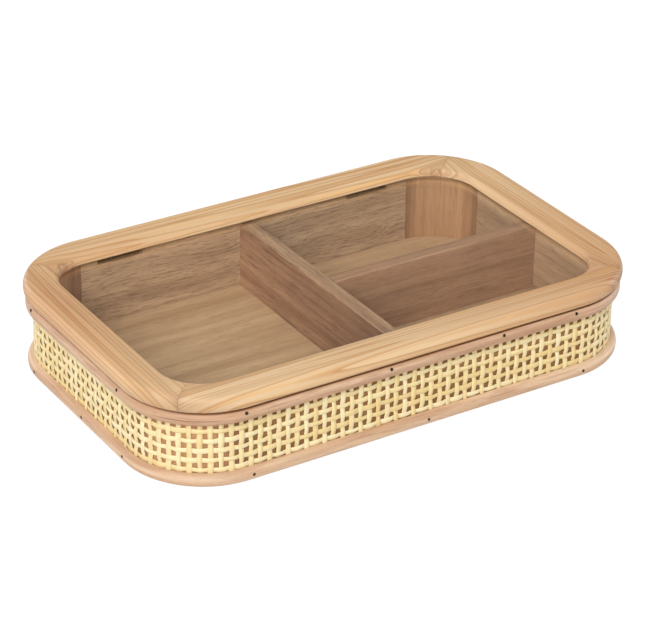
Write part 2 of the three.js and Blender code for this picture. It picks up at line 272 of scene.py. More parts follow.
def round_corner(piece, point, steps, ease=None):
    """Rounds one corner of a flat face, by a given ease or right up to its two neighbours."""
    open_mesh(piece)
    pick_points(piece, lambda place: (place - Vector(point)).length < TOUCH)
    if ease is None:
        bpy.ops.mesh.bevel(offset_type="PERCENT", offset_pct=100, segments=steps, affect="VERTICES")
    else:
        bpy.ops.mesh.bevel(offset=ease, segments=steps, affect="VERTICES")
    bpy.ops.mesh.select_all(action="SELECT")
    bpy.ops.mesh.remove_doubles(threshold=TOUCH)
    close_mesh()


def extrude(shift):
    bpy.ops.mesh.extrude_region_move(TRANSFORM_OT_translate={"value": shift})


def swing(centre, degrees, steps):
    """Spins the selected faces anticlockwise, seen from above."""
    bpy.ops.mesh.spin(steps=steps, angle=-math.radians(degrees), center=centre, axis=(0, 0, 1))


def face_outwards(piece):
    """Joins the points that touch and turns every face out."""
    open_mesh(piece, whole=True)
    bpy.ops.mesh.remove_doubles(threshold=TOUCH)
    bpy.ops.mesh.normals_make_consistent(inside=False)
    close_mesh()


def ease_edges(piece, wanted, ease, steps=ARRIS_STEPS):
    """Bevels the edges whose two ends answer the question."""
    open_mesh(piece)
    pick_edges(piece, wanted)
    bpy.ops.mesh.bevel(offset=ease, segments=steps, affect="EDGES")
    close_mesh()


def smooth(piece, degrees=SMOOTH_EDGE):
    pick_up(piece)
    bpy.ops.object.shade_smooth_by_angle(angle=math.radians(degrees))


def cut_out(piece, cutter):
    """Cuts one piece's shape out of another and puts the cutter away."""
    pick_up(piece)
    cut = piece.modifiers.new("cut", "BOOLEAN")
    cut.object = cutter
    cut.operation = "DIFFERENCE"
    bpy.ops.object.modifier_apply(modifier=cut.name)
    bpy.data.objects.remove(cutter)


def join(name, parts):
    """Joins several parts into one piece."""
    put_down()
    for part in parts:
        part.select_set(True)
    bpy.context.view_layer.objects.active = parts[0]
    bpy.ops.object.join()
    return named(name)


def copied(piece, matrix):
    """A copy with its own mesh, carried elsewhere."""
    twin = piece.copy()
    twin.data = piece.data.copy()
    twin.data.transform(matrix)
    bpy.context.scene.collection.objects.link(twin)
    return twin


# Grain: each point's place along, across and through the fibres
GRAIN_ORDER = {"x": (0, 1, 2), "y": (1, 0, 2), "z": (2, 0, 1)}


def lay_grain(piece, along, start=(0, 0, 0), tilt=0):
    """Writes the grain that the wood's pattern follows, moved and tilted so that no boards are alike."""
    order = GRAIN_ORDER[along]
    turn = Matrix.Rotation(math.radians(tilt), 3, "X")
    grain = piece.data.attributes.new("grain", "FLOAT_VECTOR", "POINT")
    for vertex, place in zip(piece.data.vertices, grain.data):
        place.vector = turn @ Vector([vertex.co[axis] for axis in order]) + Vector(start)


def moved_on(start, step, count):
    """A place in the timber, so many steps further on."""
    return [first + move * count for first, move in zip(start, step)]


# Marks: shares from 0 to 1 on a piece's points, which its finish reads
BLOCK_END_START = 27
BLOCK_END_FADE = 7


def mark(piece, name, share_at):
    """Writes the share that is found for each point."""
    marks = piece.data.attributes.new(name, "FLOAT", "POINT")
    for vertex, share in zip(piece.data.vertices, marks.data):
        share.value = share_at(vertex)


def on_lip(vertex):
    """The lower edge of a rail's inner face, where shadow is painted along the glass."""
    return 1.0 if abs(vertex.co.z - rebate_top) < TOUCH else 0.0


def on_outside(vertex):
    """The outer face of a wall or block, behind the webbing, where the finishes paint shade on the walls and
    light on the blocks.
    """
    reach_x = max(abs(vertex.co.x) - corner_x, 0)
    reach_y = max(abs(vertex.co.y) - corner_y, 0)
    return 1.0 if math.hypot(reach_x, reach_y) > wall_middle else 0.0


def block_end_shade_share(vertex):
    """The two ends of a corner block, where painted shade falls beside the wall boards, found by degrees from
    its middle.
    """
    turned = math.degrees(math.atan2(abs(vertex.co.y) - corner_y, abs(vertex.co.x) - corner_x))
    return min(max((abs(turned - 45) - BLOCK_END_START) / BLOCK_END_FADE, 0.0), 1.0)


def finished(piece, body, material, slot, *nodes):
    """Gives a piece its finish and sets it on its body in place of its nodes."""
    piece.data.materials.clear()
    piece.data.materials.append(material)
    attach(piece, body)
    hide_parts(*nodes)


# The box's rounded outline, once round from the middle of the back, anticlockwise from above
QUARTER_RUN = web_reach * math.pi / 2
STRAIGHT_RUNS = (corner_x, 2 * corner_y, 2 * corner_x, 2 * corner_y, corner_x)
WHOLE_RUN = sum(STRAIGHT_RUNS) + len(CORNERS) * QUARTER_RUN


def out_direction(degrees):
    angle = math.radians(degrees)
    return Vector((math.cos(angle), math.sin(angle), 0))


def outline_place(run):
    """The centre and the outward heading that belong to a distance along the outline."""
    centre = Vector((0, corner_y, 0))
    heading = 90
    left = run
    for straight in STRAIGHT_RUNS:
        step = min(left, straight)
        centre = centre + out_direction(heading + 90) * step
        left -= step
        bend = min(left, QUARTER_RUN)
        heading += 90 * bend / QUARTER_RUN
        left -= bend
    return centre, heading


def spread(start, length, count):
    """Places that divide a length evenly, without its start."""
    return [start + length * (step + 1) / count for step in range(count)]


def outline_stations(straight_step):
    """Distances along the outline, close together round the corners."""
    stations = [0.0]
    for place, straight in enumerate(STRAIGHT_RUNS):
        stations += spread(stations[-1], straight, math.ceil(straight / straight_step))
        if place < len(CORNERS):
            stations += spread(stations[-1], QUARTER_RUN, CORNER_STEPS)
    return stations


def wrap_round_box(piece):
    """Bends a flat piece round the box, its X along the outline and its -Y side out."""
    for vertex in piece.data.vertices:
        centre, heading = outline_place(min(max(vertex.co.x, 0), WHOLE_RUN))
        reach = web_reach - vertex.co.y
        vertex.co = centre + out_direction(heading) * reach + Vector((0, 0, vertex.co.z))


def front_run(x):
    """Distance along the outline of a place on the front. The next three do the other sides."""
    return corner_x + 2 * corner_y + 2 * QUARTER_RUN + corner_x + x


def left_run(y):
    return corner_x + QUARTER_RUN + corner_y - y


def right_run(y):
    return 3 * corner_x + 2 * corner_y + 3 * QUARTER_RUN + corner_y + y


def back_run(x):
    return -x if x <= 0 else WHOLE_RUN - x


# Finishes
def paint(red, green, blue):
    """A colour written as it looks, as the shaders take it."""
    shares = [value / 255 for value in (red, green, blue)]
    linear = [s / 12.92 if s <= 0.04045 else ((s + 0.055) / 1.055) ** 2.4 for s in shares]
    return (*linear, 1)


# Colours and places of the finishes
PINE_DEEP = paint(223, 185, 140)
PINE_PALE = paint(237, 203, 159)
PINE_ORANGE = paint(241, 190, 121)
PINE_GROWTH = paint(204, 147, 91)
PINE_HAIR = paint(186, 132, 82)
PINE_SWAY = 0.8
WARM_TINT = (0.85, 0.73, 0.67, 1)
WARM_PLACES = (
    (Vector((0.142, -0.088, 0.05)), 140 * MM),
    (Vector((-0.14, 0.03, 0.05)), 110 * MM),
)
END_GRAIN_TINT = (0.62, 0.56, 0.55, 1)
KNOT_BROWN = paint(158, 106, 64)
KNOT_CURLS = 11.0
KNOT_UNEVEN = 5.0
KNOTS = (
    (Vector((-0.1195, 0.071, 0.0505)), 7 * MM),
    (Vector((0.1178, 0.0688, 0.0492)), 6.5 * MM),
)
# Painted shadow where the rails' inner faces meet the glass
LIP_PAINTED_SHADOW = paint(78, 50, 30)
WALL_DASH = paint(108, 77, 54)
# Painted shade on the walls' outer faces, behind the webbing
BEHIND_CANE_SHADE = paint(233, 210, 171)
MARK_SPREAD = 0.75
RATTAN_BLOTCH = paint(182, 132, 102)
RATTAN_WEATHERED = paint(158, 114, 86)
RATTAN_FLECK = paint(140, 98, 72)
# Painted shadow in the gap under the lid, weaker along the back and the left side
RATTAN_GAP_SHADE = paint(118, 78, 50)
SIDE_GAP_SHADE = 0.5
SPLIT_BROWN = paint(84, 56, 44)
SPLIT_DARKNESS = 0.85
SPLIT_WANDER = 0.8 * MM
SPLIT_HALF_WIDTH = 0.35 * MM
SPLIT_FADE = 8 * MM
SPLITS = (
    (front_run(-150 * MM), front_run(-112 * MM), 3.6 * MM),
    (front_run(-37 * MM), front_run(-24 * MM), 2.4 * MM),
)
CANE_DEEP = paint(237, 209, 145)
CANE_MIDDLING = paint(244, 222, 166)
CANE_PALE = paint(249, 232, 186)
CANE_MARK = paint(208, 172, 108)
METAL_UNEVEN = 0.12
GLASS_TINT = (0.975, 0.98, 0.97, 1)
GLASS_LAMP_TINT = (0.89, 0.9, 0.89, 1)


class Finish:
    """One material, with short calls that add its nodes and join them up."""

    def __init__(self, name):
        self.material = bpy.data.materials.new(name)
        self.material.use_nodes = True
        self.tree = self.material.node_tree
        self.surface = self.tree.nodes["Principled BSDF"]

    def add(self, kind, **inputs):
        node = self.tree.nodes.new(kind)
        for name, value in inputs.items():
            self.feed(node.inputs[name.replace("_", " ")], value)
        return node

    def feed(self, socket, value):
        if isinstance(value, bpy.types.NodeSocket):
            self.tree.links.new(value, socket)
        else:
            socket.default_value = value

    def set(self, **inputs):
        for name, value in inputs.items():
            self.feed(self.surface.inputs[name.replace("_", " ")], value)

    def grain(self, along, across, through=None):
        """Place in the grain, counted in so many repeats to the metre."""
        place = self.tree.nodes.new("ShaderNodeAttribute")
        place.attribute_name = "grain"
        scale = (along, across, across if through is None else through)
        return self.add("ShaderNodeMapping", Vector=place.outputs["Vector"], Scale=scale).outputs["Vector"]

    def marked(self, name):
        """A share that was marked on the piece's points."""
        node = self.tree.nodes.new("ShaderNodeAttribute")
        node.attribute_name = name
        return node.outputs["Fac"]

    def here(self):
        """Place on the box."""
        return self.tree.nodes.new("ShaderNodeTexCoord").outputs["Object"]

    def patches(self, per_metre, detail):
        """Uneven patches, alike in every direction."""
        node = self.add("ShaderNodeTexNoise", Vector=self.here(), Scale=per_metre, Detail=detail)
        return node.outputs["Fac"]

    def lines(self, length, width, depth=None, detail=2.0, roughness=0.55, sway=None, reach=0.0):
        """Streaks along the grain, measured in millimetres, swaying up to a reach either way."""
        place = self.grain(1 / (length * MM), 1 / (width * MM), 1 / ((depth or width) * MM))
        if sway is not None:
            place = self.wander(place, sway, reach / width)
        node = self.add("ShaderNodeTexNoise", Vector=place, Scale=1.0, Detail=detail, Roughness=roughness)
        return node.outputs["Fac"]

    def rings(self, length, width, depth, count, sway, reach):
        """Growth rings: each goes slowly from 0 to 1 across the grain and then starts again at once."""
        wood = self.lines(length, width, depth, detail=0.6, sway=sway, reach=reach)
        return self.maths("FRACT", self.maths("MULTIPLY", wood, count), 0.0)

    def split(self, first, last, level):
        """1 along a fine split at one level of a strip, fading out at both its ends."""
        place = self.add("ShaderNodeSeparateXYZ", Vector=self.grain(1, 1))
        wavy = self.span(self.lines(22, 8, detail=1), level - SPLIT_WANDER, level + SPLIT_WANDER)
        away = self.maths("ABSOLUTE", self.maths("SUBTRACT", place.outputs["Z"], wavy), 0.0)
        line = self.fade(away, 0.0, SPLIT_HALF_WIDTH, low=1.0, high=0.0)
        start = self.fade(place.outputs["X"], first, first + SPLIT_FADE)
        stop = self.fade(place.outputs["X"], last, last - SPLIT_FADE)
        return self.maths("MULTIPLY", line, self.maths("MULTIPLY", start, stop))

    def near(self, place, reach):
        """1 at a place on the box, falling to 0 at a reach from it."""
        away = self.tree.nodes.new("ShaderNodeVectorMath")
        away.operation = "DISTANCE"
        self.feed(away.inputs[0], self.here())
        self.feed(away.inputs[1], place)
        return self.fade(away.outputs["Value"], 0.0, reach, low=1.0, high=0.0)

    def ramp(self, share, *stops):
        """Colours or greys at shares from 0 to 1."""
        node = self.add("ShaderNodeValToRGB", Fac=share)
        elements = node.color_ramp.elements
        while len(elements) < len(stops):
            elements.new(0.5)
        for element, (position, colour) in zip(elements, stops):
            element.position = position
            element.color = colour if isinstance(colour, tuple) else (colour, colour, colour, 1)
        return node.outputs["Color"]

    def mix(self, share, first, second, how="MIX"):
        node = self.tree.nodes.new("ShaderNodeMix")
        node.data_type = "RGBA"
        node.blend_type = how
        self.feed(node.inputs[0], share)
        self.feed(node.inputs[6], first)
        self.feed(node.inputs[7], second)
        return node.outputs[2]

    def overlay(self, colour, other, lines, begins, full, strength):
        """Lays another colour over the lines, from where they begin up to a strength where they are full."""
        return self.mix(self.ramp(lines, (begins, 0.0), (full, strength)), colour, other)

    def tint(self, share, colour, tint):
        """Tints a share of the colour."""
        return self.mix(share, colour, self.mix(1.0, colour, tint, "MULTIPLY"))

    def shade(self, colour, lines, share, dark, light):
        """Darkens and lightens a share of the colour along fine lines, between two stops."""
        return self.mix(share, colour, self.ramp(lines, dark, light), "MULTIPLY")

    def maths(self, how, first, second):
        node = self.tree.nodes.new("ShaderNodeMath")
        node.operation = how
        self.feed(node.inputs[0], first)
        self.feed(node.inputs[1], second)
        return node.outputs[0]

    def fade(self, value, first, last, low=0.0, high=1.0):
        """Goes from low to high while a value goes from first to last, and stays level beyond."""
        node = self.add("ShaderNodeMapRange", Value=value, From_Min=first, From_Max=last,
                        To_Min=low, To_Max=high)
        return node.outputs["Result"]

    def span(self, share, low, high):
        """A share from 0 to 1 as a value from low to high."""
        return self.fade(share, 0.0, 1.0, low, high)

    def wander(self, place, share, reach):
        """Place moved across the grain by a noise, up to a reach either way."""
        centred = self.maths("SUBTRACT", share, 0.5)
        pushed = self.maths("MULTIPLY", centred, 2 * reach)
        shift = self.add("ShaderNodeCombineXYZ", Y=pushed, Z=pushed).outputs["Vector"]
        node = self.tree.nodes.new("ShaderNodeVectorMath")
        self.feed(node.inputs[0], place)
        self.feed(node.inputs[1], shift)
        return node.outputs[0]

    def bump(self, height, depth):
        node = self.add("ShaderNodeBump", Height=height, Strength=1.0, Distance=depth)
        self.set(Normal=node.outputs["Normal"])


def lid_pine():
    """Pale softwood: straight growth lines, orange streaks and a knot in two of the corners."""
    finish = Finish("lid_pine")
    swaying = {"sway": finish.lines(150, 40, detail=1), "reach": PINE_SWAY}
    tone = finish.lines(420, 4, 40, **swaying)
    orange = finish.lines(330, 2.4, 30, **swaying)
    rings = finish.rings(700, 11, 60, count=13.0, **swaying)
    growth = finish.ramp(rings, (0.0, 0.0), (0.58, 0.05), (0.86, 0.56), (0.95, 0.9), (1.0, 0.0))
    hairs = finish.lines(220, 0.7, 16, **swaying)
    rough = finish.lines(5, 1.2)
    fibres = finish.lines(14, 0.3, 1.0, detail=3, roughness=0.6)
    colour = finish.ramp(tone, (0.36, PINE_DEEP), (0.62, PINE_PALE))
    colour = finish.overlay(colour, PINE_ORANGE, orange, begins=0.54, full=0.64, strength=0.5)
    colour = finish.mix(growth, colour, PINE_GROWTH)
    colour = finish.overlay(colour, PINE_HAIR, hairs, begins=0.57, full=0.68, strength=0.35)
    for place, reach in WARM_PLACES:
        colour = finish.tint(finish.near(place, reach), colour, WARM_TINT)
    colour = finish.tint(finish.marked("end_grain"), colour, END_GRAIN_TINT)
    unevenness = finish.maths("MULTIPLY", rough, KNOT_UNEVEN)
    for place, reach in KNOTS:
        knot = finish.near(place, reach)
        turns = finish.maths("ADD", finish.maths("MULTIPLY", knot, KNOT_CURLS), unevenness)
        curls = finish.span(finish.maths("SINE", turns, 0.0), 0.2, 1.0)
        share = finish.maths("MULTIPLY", finish.ramp(knot, (0.05, 0.0), (0.6, 0.75)), curls)
        colour = finish.mix(share, colour, KNOT_BROWN)
    colour = finish.shade(colour, fibres, 0.3, dark=(0.25, 0.74), light=(0.7, 1.1))
    # Painted shadow along the lip, where the rail meets the glass
    colour = finish.overlay(colour, LIP_PAINTED_SHADOW, finish.marked("lip"), begins=0.76, full=0.92, strength=0.9)
    finish.set(Base_Color=colour, Roughness=finish.span(fibres, 0.42, 0.62))
    finish.bump(finish.maths("ADD", fibres, growth), depth=0.05 * MM)
    return finish.material


def bare_board(name, pale, deep, dash, band, swirl, dashing, **tints):
    """Bare brown board: soft bands, broken streaks and pores along the grain, tinted where it is marked."""
    finish = Finish(name)
    swaying = {"sway": finish.lines(52, 26, detail=1), "reach": swirl}
    bands = finish.lines(200, band, **swaying)
    cloud = finish.lines(38, 14)
    streaks = finish.lines(48, 1.0, detail=3, roughness=0.6, **swaying)
    dashes = finish.lines(9, 0.55, roughness=0.6, **swaying)
    pores = finish.lines(4, 0.28)
    colour = finish.ramp(bands, (0.32, deep), (0.66, pale))
    colour = finish.overlay(colour, deep, cloud, begins=0.45, full=0.7, strength=dashing)
    colour = finish.overlay(colour, dash, streaks, begins=0.52, full=0.68, strength=dashing)
    colour = finish.overlay(colour, dash, dashes, begins=0.54, full=0.66, strength=dashing)
    colour = finish.shade(colour, pores, 0.25, dark=(0.3, 0.66), light=(0.6, 1.08))
    for place, tint in tints.items():
        share = finish.maths("POWER", finish.marked(place), MARK_SPREAD)
        colour = finish.tint(share, colour, tint)
    finish.set(Base_Color=colour, Roughness=finish.span(pores, 0.75, 0.58), Specular_IOR_Level=0.3)
    finish.bump(finish.maths("SUBTRACT", pores, dashes), depth=0.05 * MM)
    return finish.material


def trim_rattan(name, deep, middling, pale, blotched):
    """Rattan strip: fine fibres, pink blotches, dark weathered streaks, splits and painted shadow along the
    top edge, under the lid.
    """
    finish = Finish(name)
    fibres = finish.lines(30, 0.55, detail=3, roughness=0.6)
    tone = finish.lines(90, 4)
    blotches = finish.lines(30, 3.0, detail=3, roughness=0.6)
    weathered = finish.lines(36, 1.0, roughness=0.6)
    flecks = finish.lines(3.5, 0.5, roughness=0.6)
    place = finish.add("ShaderNodeSeparateXYZ", Vector=finish.grain(1, 1))
    edge = finish.fade(place.outputs["Z"], -GAP_SHADE_DEPTH, -GAP_SHADE_DEPTH / 2)
    front = finish.fade(place.outputs["X"], left_run(-corner_y), front_run(-corner_x), low=SIDE_GAP_SHADE)
    colour = finish.ramp(tone, (0.34, deep), (0.5, middling), (0.66, pale))
    colour = finish.overlay(colour, RATTAN_BLOTCH, blotches, begins=0.5, full=0.66, strength=blotched)
    colour = finish.overlay(colour, RATTAN_WEATHERED, weathered, begins=0.58, full=0.72, strength=0.55)
    colour = finish.overlay(colour, RATTAN_FLECK, flecks, begins=0.6, full=0.72, strength=0.4)
    for first, last, below in SPLITS:
        split = finish.maths("MULTIPLY", finish.split(first, last, -below), SPLIT_DARKNESS)
        colour = finish.mix(split, colour, SPLIT_BROWN)
    # Painted shadow along the top edge, in the gap under the lid
    colour = finish.mix(finish.maths("MULTIPLY", edge, front), colour, RATTAN_GAP_SHADE)
    colour = finish.shade(colour, fibres, 0.3, dark=(0.25, 0.68), light=(0.65, 1.1))
    finish.set(Base_Color=colour, Roughness=finish.span(fibres, 0.42, 0.6))
    finish.bump(fibres, depth=0.08 * MM)
    return finish.material


def split_cane():
    """Pale yellow cane with fine fibres, a slight tint to each strand and a skin that shines."""
    finish = Finish("split_cane")
    fibres = finish.lines(17, 0.4, detail=3, roughness=0.6)
    strand = finish.lines(200, 6, detail=1)
    marks = finish.lines(14, 2.4)
    colour = finish.ramp(strand, (0.36, CANE_DEEP), (0.5, CANE_MIDDLING), (0.64, CANE_PALE))
    colour = finish.overlay(colour, CANE_MARK, marks, begins=0.64, full=0.76, strength=0.5)
    colour = finish.shade(colour, fibres, 0.3, dark=(0.25, 0.7), light=(0.65, 1.06))
    finish.set(Base_Color=colour, Roughness=finish.span(fibres, 0.34, 0.52))
    finish.bump(fibres, depth=0.04 * MM)
    return finish.material


def dark_metal(name, fresh, worn, roughness):
    """Metal with a patchy, slightly scuffed skin."""
    finish = Finish(name)
    patches = finish.patches(per_metre=900.0, detail=3.0)
    scuffs = finish.patches(per_metre=4200.0, detail=2.0)
    colour = finish.overlay(fresh, worn, patches, begins=0.4, full=0.68, strength=1.0)
    finish.set(Base_Color=colour, Metallic=1.0,
               Roughness=finish.span(scuffs, roughness - METAL_UNEVEN, roughness + METAL_UNEVEN))
    finish.bump(scuffs, depth=0.02 * MM)
    return finish.material


def clear_glass():
    """Picture glass that lets the light of the room through to the tray."""
    finish = Finish("clear_glass")
    smears = finish.ramp(finish.patches(per_metre=26.0, detail=4.0), (0.5, 0.0), (0.8, 1.0))
    finish.set(Base_Color=GLASS_TINT, Transmission_Weight=1.0, IOR=1.5,
               Roughness=finish.span(smears, 0.0, 0.02))
    lamp_way = finish.add("ShaderNodeBsdfTransparent", Color=GLASS_LAMP_TINT)
    light = finish.tree.nodes.new("ShaderNodeLightPath")
    mixed = finish.tree.nodes.new("ShaderNodeMixShader")
    finish.feed(mixed.inputs[0], light.outputs["Is Shadow Ray"])
    finish.feed(mixed.inputs[1], finish.surface.outputs["BSDF"])
    finish.feed(mixed.inputs[2], lamp_way.outputs["BSDF"])
    finish.feed(finish.tree.nodes["Material Output"].inputs["Surface"], mixed.outputs["Shader"])
    return finish.material


# Lid
def point_at(point, centre, heading):
    """Stands a point of a section, given by its reach and height, up on a corner centre, facing out."""
    reach, height = point
    return centre + out_direction(heading) * reach + Vector((0, 0, height))


def section_at(section, centre, heading):
    """Stands a whole section up in the same way."""
    return [point_at(point, centre, heading) for point in section]


def draw_along(piece, side, start_bend, end_bend, steps):
    """Draws a standing section along one side of the box and some degrees on round both its corners."""
    start, end, _ = SIDES[side]
    start_centre, end_centre = CORNERS[start][0], CORNERS[end][0]
    travel = (end_centre - start_centre).normalized()
    open_mesh(piece, whole=True)
    extrude(end_centre - start_centre)
    swing(end_centre, end_bend, steps)
    pick_faces(piece, lambda middle, normal: abs((middle - start_centre).dot(travel)) < TOUCH)
    swing(start_centre, -start_bend, steps)
    close_mesh()
    face_outwards(piece)


def lid_rail(side):
    """One side of the lid's frame, from the mitre in one rounded corner to the mitre in the next."""
    start, end, _ = SIDES[side]
    start_centre, turn = CORNERS[start]
    end_centre, _ = CORNERS[end]
    heading = turn + 90
    rebate_reach = opening_reach + GLASS_REBATE_WIDTH
    edge_top = lid_top - RAIL_OUTER_FALL
    inner_top = lid_top - RAIL_INNER_FALL
    under_corner = (lid_reach, lid_low)
    edge_corner = (lid_reach, edge_top)
    crown = (lid_reach - RAIL_CROWN_INSET, lid_top)
    inner_corner = (opening_reach, inner_top)
    section = [
        (lid_reach - RAIL_UNDERCUT, lid_low),
        under_corner,
        (lid_reach, lid_low + RAIL_EDGE_HEIGHT),
        edge_corner,
        (lid_reach - RAIL_EDGE_ROUND, edge_top),
        crown,
        (opening_reach + RAIL_INNER_ROUND_WIDTH, inner_top),
        inner_corner,
        (opening_reach, inner_top - RAIL_INNER_ROUND_HEIGHT),
        (opening_reach, rebate_top),
        (rebate_reach, rebate_top),
        (rebate_reach, lid_low),
    ]
    rail = outline_face(f"lid_{side}_rail", section_at(section, start_centre, heading))
    for corner in (under_corner, edge_corner, inner_corner):
        round_corner(rail, point_at(corner, start_centre, heading), EDGE_STEPS)
    round_corner(rail, point_at(crown, start_centre, heading), EASE_STEPS, ease=RAIL_INNER_ROUND_WIDTH)
    half_bend = 45 - math.degrees(MITRE_GAP / 2 / opening_reach)
    draw_along(rail, side, half_bend, half_bend, CORNER_STEPS // 2)
    for corner in (start, end):
        tighten_opening(rail, corner)
    ease_mitres(rail, start_centre, end_centre, heading, half_bend)
    smooth(rail)
    return rail


def drawn_out(direction, middle, inner, shift):
    """How much further a corner's inside reaches in one direction, if its round starts a shift later."""
    lean = math.acos(min(direction.dot(middle), 1))
    straight = inner / math.cos(math.pi / 4 - lean)
    if straight * math.sin(math.pi / 4 - lean) <= shift:
        return straight - inner
    reach = shift * math.sqrt(2) * math.cos(lean)
    under_root = reach * reach - 2 * shift * shift + (inner - shift) ** 2
    return reach + math.sqrt(max(under_root, 0)) - inner


def tighten_corner(piece, corner, inner, drawn, share_at):
    """Draws the inside of one rounded corner out, so that it is tighter than the outside's round."""
    centre, turn = CORNERS[corner]
    middle = out_direction(turn + 45)
    shift = drawn / (math.sqrt(2) - 1)
    for vertex in piece.data.vertices:
        away = vertex.co - centre
        away.z = 0
        if away.dot(middle) < away.length * math.cos(math.pi / 4) - TOUCH:
            continue
        direction = away.normalized()
        share = share_at(away.length, vertex.co.z)
        vertex.co += direction * drawn_out(direction, middle, inner, shift) * share


def tighten_opening(rail, corner):
    """Draws the inner edge of the lid's frame out into one corner of the opening."""
    room = RAIL_WIDTH - RAIL_CROWN_INSET

    def share_at(reach, height):
        in_rebate = height < rebate_top + TOUCH and reach > opening_reach + TOUCH
        return 0.0 if in_rebate else max(1 - (reach - opening_reach) / room, 0.0)

    tighten_corner(rail, corner, opening_reach, OPENING_DRAWN[corner], share_at)


def tighten_tray(piece, corner):
    """Draws the inner face of the tray's wall out into one corner."""
    def share_at(reach, height):
        return 1.0 if reach < wall_middle else 0.0

    tighten_corner(piece, corner, wall_inner, TRAY_DRAWN[corner], share_at)


def wall_bend(corner):
    """How far round a corner, in degrees, the wall boards reach before the corner block starts."""
    shift = TRAY_DRAWN[corner] / (math.sqrt(2) - 1)
    return math.degrees(math.atan(shift / wall_inner))


def ease_mitres(rail, start_centre, end_centre, heading, half_bend):
    """Takes the sharp edge off both mitred ends, so that the joint shows as a fine line."""
    for centre, turned in ((start_centre, heading - half_bend), (end_centre, heading + half_bend)):
        square = out_direction(turned + 90)

        def on_mitre(place):
            return abs((place - centre).dot(square)) < 10 * TOUCH

        ease_edges(rail, lambda first, second: on_mitre(first) and on_mitre(second), MITRE_EASE, 1)


def rounded_panel(name, node, arris):
    """A flat panel with the box's rounded corners and a small arris all round."""
    low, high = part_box(node)
    reach = high.x - corner_x
    put_down()
    bpy.ops.mesh.primitive_plane_add(size=2, location=(0, 0, low.z))
    panel = named(name)
    panel.scale = (corner_x + reach, corner_y + reach, 1)
    bpy.ops.object.transform_apply(location=True, rotation=True, scale=True)
    open_mesh(panel, whole=True)
    bpy.ops.mesh.bevel(offset=reach, segments=CORNER_STEPS, affect="VERTICES")
    bpy.ops.mesh.select_all(action="SELECT")
    extrude((0, 0, high.z - low.z))
    close_mesh()
    face_outwards(panel)

    def level(first, second):
        return abs(first.z - second.z) < TOUCH

    ease_edges(panel, level, arris)
    smooth(panel, SMOOTH_PANEL)
    return panel


# Tray
def standing_wall(name, centre, heading):
    """The section of the tray's wall with its top edges eased, ready to be drawn out."""
    inner_top = (wall_inner, rim)
    outer_top = (wall_outer, rim)
    section = [(wall_outer, wall_low), outer_top, inner_top, (wall_inner, wall_low)]
    wall = outline_face(name, section_at(section, centre, heading))
    round_corner(wall, point_at(inner_top, centre, heading), EASE_STEPS, ease=WALL_EASE)
    round_corner(wall, point_at(outer_top, centre, heading), ARRIS_STEPS, ease=BOARD_ARRIS)
    return wall


def wall_board(side):
    """A board of the tray's wall, its ends just reaching round the corners."""
    start, end, _ = SIDES[side]
    start_centre, turn = CORNERS[start]
    gap = math.degrees(BOARD_GAP / wall_inner)
    wall = standing_wall(f"{side}_wall_board", start_centre, turn + 90)
    draw_along(wall, side, wall_bend(start) - gap, wall_bend(end) - gap, BOARD_END_STEPS)
    for corner in (start, end):
        tighten_tray(wall, corner)
    return wall


def corner_block(place):
    """A quarter-round block between two wall boards."""
    centre, turn = CORNERS[place]
    bend = wall_bend(place)
    wall = standing_wall(f"{place}_block", centre, turn + bend)
    open_mesh(wall, whole=True)
    swing(centre, 90 - 2 * bend, CORNER_STEPS)
    close_mesh()
    face_outwards(wall)
    tighten_tray(wall, place)
    smooth(wall)
    return wall


def divider_board(name, node, along):
    """A divider with both top edges eased, its top marked for painted light and a share that grows towards
    the front marked.
    """
    low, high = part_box(node)
    divider = block(name, low, high)
    axis = GRAIN_ORDER[along][0]

    def long_top(first, second):
        return min(first.z, second.z) > high.z - TOUCH and abs(first[axis] - second[axis]) > TOUCH

    # The top, which the finishes paint lighter and greyer as painted light
    def on_top(vertex):
        return 1.0 if vertex.co.z > high.z - DIVIDER_EASE / 2 else 0.0

    def in_heart(vertex):
        """Darker towards the front."""
        return (1 - on_top(vertex)) * (high.y - vertex.co.y) / (high.y - low.y)

    ease_edges(divider, long_top, DIVIDER_EASE, EASE_STEPS)
    smooth(divider)
    mark(divider, "top", on_top)
    mark(divider, "heart", in_heart)
    return divider


# Hinge places
def hinge_span(side):
    """Lowest and highest corner of one whole hinge."""
    boxes = [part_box(f"hinge_{side}_{part}") for part in ("box_leaf", "lid_leaf")]
    lows, highs = zip(*boxes)
    return Vector(map(min, *lows)), Vector(map(max, *highs))


def cut_notches(piece, flat):
    """Cuts the slots that the hinges sit in, along the flat outline or in place."""
    for side in HINGE_SIDES:
        low, high = hinge_span(side)
        first, last = low.x - NOTCH_END_ROOM, high.x + NOTCH_END_ROOM
        inside, outside = corner_y, corner_y + 2 * lid_reach
        if flat:
            first, last = sorted((back_run(first), back_run(last)))
            inside, outside = -lid_reach, lid_reach
        floor = low.z - NOTCH_FLOOR_ROOM
        cut_out(piece, block("notch", (first, inside, floor), (last, outside, lid_top)))


# Trims
def trim_strip(name, node):
    """A rattan strip, flat behind and rounded in front, bent once round the box and butted at the back."""
    low, high = (corner.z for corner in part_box(node))
    front = web_reach - trim_outer
    bend = front + TRIM_ROUND_DEPTH
    butt = BOARD_GAP / 2
    section = [
        (-TRIM_BACK_ROOM, low),
        (bend, low),
        (front, low),
        (front, low + TRIM_ROUND_HEIGHT),
        (front, high - TRIM_ROUND_HEIGHT),
        (front, high),
        (bend, high),
        (-TRIM_BACK_ROOM, high),
    ]
    strip = outline_face(name, [(butt, depth, height) for depth, height in section])
    round_corner(strip, (butt, front, low), EDGE_STEPS)
    round_corner(strip, (butt, front, high), EDGE_STEPS)
    open_mesh(strip, whole=True)
    stations = outline_stations(TRIM_STEP)
    stations[0] = butt
    stations[-1] = WHOLE_RUN - butt
    for first, second in zip(stations, stations[1:]):
        extrude((second - first, 0, 0))
    close_mesh()
    face_outwards(strip)
    return strip


